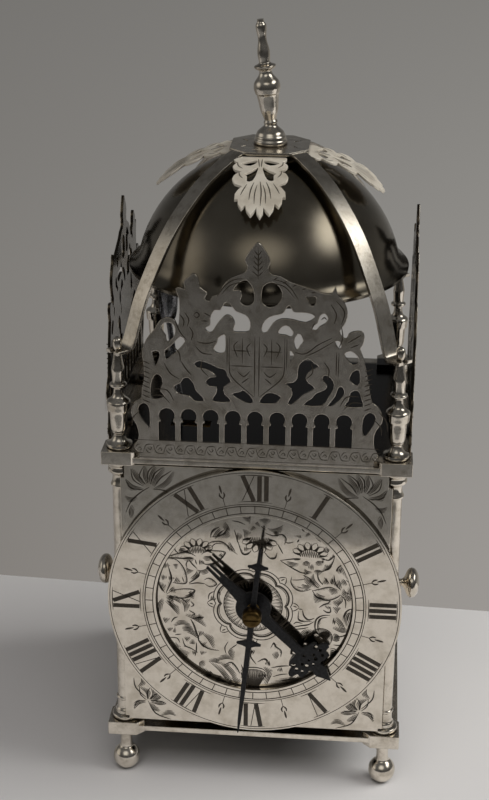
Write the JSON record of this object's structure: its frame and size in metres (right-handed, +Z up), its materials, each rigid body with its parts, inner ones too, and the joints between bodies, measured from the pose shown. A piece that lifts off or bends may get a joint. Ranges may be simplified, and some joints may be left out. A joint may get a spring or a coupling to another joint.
{
  "type": "lantern clock",
  "caption": "Silver-plated lantern clock on ball feet: engraved dial, pierced heraldic frets, bell under a strap with a turned finial, and a striking movement with a pendulum.",
  "frame": {"origin": "on the table, at the centre between the four ball feet", "axes": "+Z up, the dial faces -Y, +X to the right of someone who reads the dial"},
  "size_m": [0.1726, 0.1834, 0.4003],
  "materials": {
    "brass": "polished, unplated",
    "silvered_brass": "silver-plated, polished, lightly tarnished",
    "engraved_silver": "silver-plated, engraved and waxed black",
    "bell_metal": "dark polished",
    "blued_steel": "blackened, satin",
    "steel": "satin"
  },
  "bodies": {
    "frame": {"bottom_plate": "silvered_brass", "top_plate": "silvered_brass", "front_left_pillar": "silvered_brass", "front_right_pillar": "silvered_brass", "back_left_pillar": "silvered_brass", "back_right_pillar": "silvered_brass", "front_left_finial": "silvered_brass", "front_right_finial": "silvered_brass", "back_left_finial": "silvered_brass", "back_right_finial": "silvered_brass", "ball_feet": "silvered_brass", "dial_plate": "engraved_silver", "chapter_ring": "engraved_silver", "front_fret": "engraved_silver", "left_fret": "engraved_silver", "right_fret": "engraved_silver", "fret_screws": "steel", "bell": "bell_metal", "bell_strap": "silvered_brass", "crown_leaves": "engraved_silver", "top_finial": "silvered_brass", "bell_bolt": "steel", "movement_front_plate": "brass", "movement_back_plate": "brass", "movement_pillars": "brass", "movement_nuts": "steel", "movement_seats": "brass", "back_cock": "brass", "hammer_spring": "steel"},
    "left_door": {"left_door": "silvered_brass", "left_door_knob": "silvered_brass"},
    "right_door": {"right_door": "silvered_brass", "right_door_knob": "silvered_brass"},
    "back_door": {"back_door": "silvered_brass", "back_door_knob": "silvered_brass"},
    "minute_arbor": {"centre_wheel": "brass", "cannon_pinion": "steel", "minute_hand": "blued_steel", "hand_nut": "brass"},
    "third_arbor": {"third_wheel": "brass"},
    "escape_arbor": {"escape_wheel": "brass"},
    "minute_wheel": {"minute_wheel": "brass"},
    "hour_pipe": {"hour_wheel": "brass", "hour_hand": "blued_steel"},
    "going_barrel": {"going_barrel": "brass", "going_mainspring": "steel"},
    "going_winding_arbor": {"going_winding_arbor": "steel"},
    "pendulum": {"pallets": "steel", "pendulum": "brass"},
    "strike_barrel": {"strike_barrel": "brass", "strike_mainspring": "steel"},
    "strike_winding_arbor": {"strike_winding_arbor": "steel"},
    "pin_arbor": {"pin_wheel": "brass"},
    "hoop_arbor": {"hoop_wheel": "brass"},
    "fly": {"fly": "brass"},
    "count_wheel": {"count_wheel": "brass"},
    "hammer": {"hammer": "steel"},
    "strike_lever": {"strike_lever": "steel"},
    "going_click": {"going_click": "steel"},
    "strike_click": {"strike_click": "steel"}
  },
  "joints": [
    {"name": "left_door_hinge", "type": "hinge", "parent": "frame", "child": "left_door", "pos_m": [-0.07255, 0.0614, 0.1112], "axis": [0, 0, -1], "range_deg": [0, 100]},
    {"name": "right_door_hinge", "type": "hinge", "parent": "frame", "child": "right_door", "pos_m": [0.07255, 0.0614, 0.1112], "axis": [0, 0, 1], "range_deg": [0, 100]},
    {"name": "back_door_hinge", "type": "hinge", "parent": "frame", "child": "back_door", "pos_m": [0.0614, 0.07255, 0.1112], "axis": [0, 0, -1], "range_deg": [0, 100]},
    {"name": "minute_arbor_turn", "type": "hinge", "parent": "frame", "child": "minute_arbor", "pos_m": [0, -0.04, 0.1112], "axis": [0, 1, 0], "continuous": true},
    {"name": "third_arbor_turn", "type": "hinge", "parent": "frame", "child": "third_arbor", "pos_m": [0.00513, -0.02, 0.13032], "axis": [0, 1, 0], "continuous": true},
    {"name": "escape_arbor_turn", "type": "hinge", "parent": "frame", "child": "escape_arbor", "pos_m": [0, -0.016, 0.14633], "axis": [0, 1, 0], "continuous": true},
    {"name": "minute_wheel_turn", "type": "hinge", "parent": "frame", "child": "minute_wheel", "pos_m": [0.00919, -0.065, 0.11891], "axis": [0, 1, 0], "continuous": true},
    {"name": "hour_pipe_turn", "type": "hinge", "parent": "frame", "child": "hour_pipe", "pos_m": [0, -0.075, 0.1112], "axis": [0, 1, 0], "continuous": true},
    {"name": "going_barrel_turn", "type": "hinge", "parent": "frame", "child": "going_barrel", "pos_m": [0.0252, -0.04, 0.1048], "axis": [0, 1, 0], "continuous": true},
    {"name": "going_winding", "type": "hinge", "parent": "frame", "child": "going_winding_arbor", "pos_m": [0.0252, -0.01, 0.1048], "axis": [0, 1, 0], "continuous": true},
    {"name": "pendulum_swing", "type": "hinge", "parent": "frame", "child": "pendulum", "pos_m": [0, -0.002, 0.15932], "axis": [0, 1, 0], "range_deg": [-4, 4]},
    {"name": "strike_barrel_turn", "type": "hinge", "parent": "frame", "child": "strike_barrel", "pos_m": [-0.027, -0.04, 0.1032], "axis": [0, 1, 0], "continuous": true},
    {"name": "strike_winding", "type": "hinge", "parent": "frame", "child": "strike_winding_arbor", "pos_m": [-0.027, -0.01, 0.1032], "axis": [0, 1, 0], "continuous": true},
    {"name": "pin_arbor_turn", "type": "hinge", "parent": "frame", "child": "pin_arbor", "pos_m": [-0.03152, -0.022, 0.12881], "axis": [0, 1, 0], "continuous": true},
    {"name": "hoop_arbor_turn", "type": "hinge", "parent": "frame", "child": "hoop_arbor", "pos_m": [-0.02341, -0.018, 0.14283], "axis": [0, 1, 0], "continuous": true},
    {"name": "fly_turn", "type": "hinge", "parent": "frame", "child": "fly", "pos_m": [-0.02123, -0.04, 0.15524], "axis": [0, 1, 0], "continuous": true},
    {"name": "count_wheel_turn", "type": "hinge", "parent": "frame", "child": "count_wheel", "pos_m": [-0.03543, -0.008, 0.14994], "axis": [0, 1, 0], "continuous": true},
    {"name": "hammer_swing", "type": "hinge", "parent": "frame", "child": "hammer", "pos_m": [-0.049, -0.03, 0.1332], "axis": [0, 1, 0], "range_deg": [-1.5, 12], "stiffness_Nm_per_rad": 0.15},
    {"name": "strike_lever_lift", "type": "hinge", "parent": "frame", "child": "strike_lever", "pos_m": [-0.012, -0.03, 0.1692], "axis": [0, 1, 0], "range_deg": [0, 5]},
    {"name": "going_click_lift", "type": "hinge", "parent": "frame", "child": "going_click", "pos_m": [0.03277, -0.008, 0.11071], "axis": [0, 1, 0], "range_deg": [0, 15], "stiffness_Nm_per_rad": 0.002},
    {"name": "strike_click_lift", "type": "hinge", "parent": "frame", "child": "strike_click", "pos_m": [-0.01944, -0.008, 0.10911], "axis": [0, 1, 0], "range_deg": [0, 15], "stiffness_Nm_per_rad": 0.002}
  ],
  "couplings": [
    {"joint": "third_arbor_turn", "follows": "minute_arbor_turn", "ratio": -10},
    {"joint": "escape_arbor_turn", "follows": "minute_arbor_turn", "ratio": 130},
    {"joint": "minute_wheel_turn", "follows": "minute_arbor_turn", "ratio": -0.33333},
    {"joint": "hour_pipe_turn", "follows": "minute_arbor_turn", "ratio": 0.083333},
    {"joint": "going_barrel_turn", "follows": "minute_arbor_turn", "ratio": -0.083333},
    {"joint": "strike_barrel_turn", "follows": "pin_arbor_turn", "ratio": -0.083333},
    {"joint": "hoop_arbor_turn", "follows": "pin_arbor_turn", "ratio": -8},
    {"joint": "fly_turn", "follows": "pin_arbor_turn", "ratio": 64},
    {"joint": "count_wheel_turn", "follows": "pin_arbor_turn", "ratio": -0.10256}
  ]
}
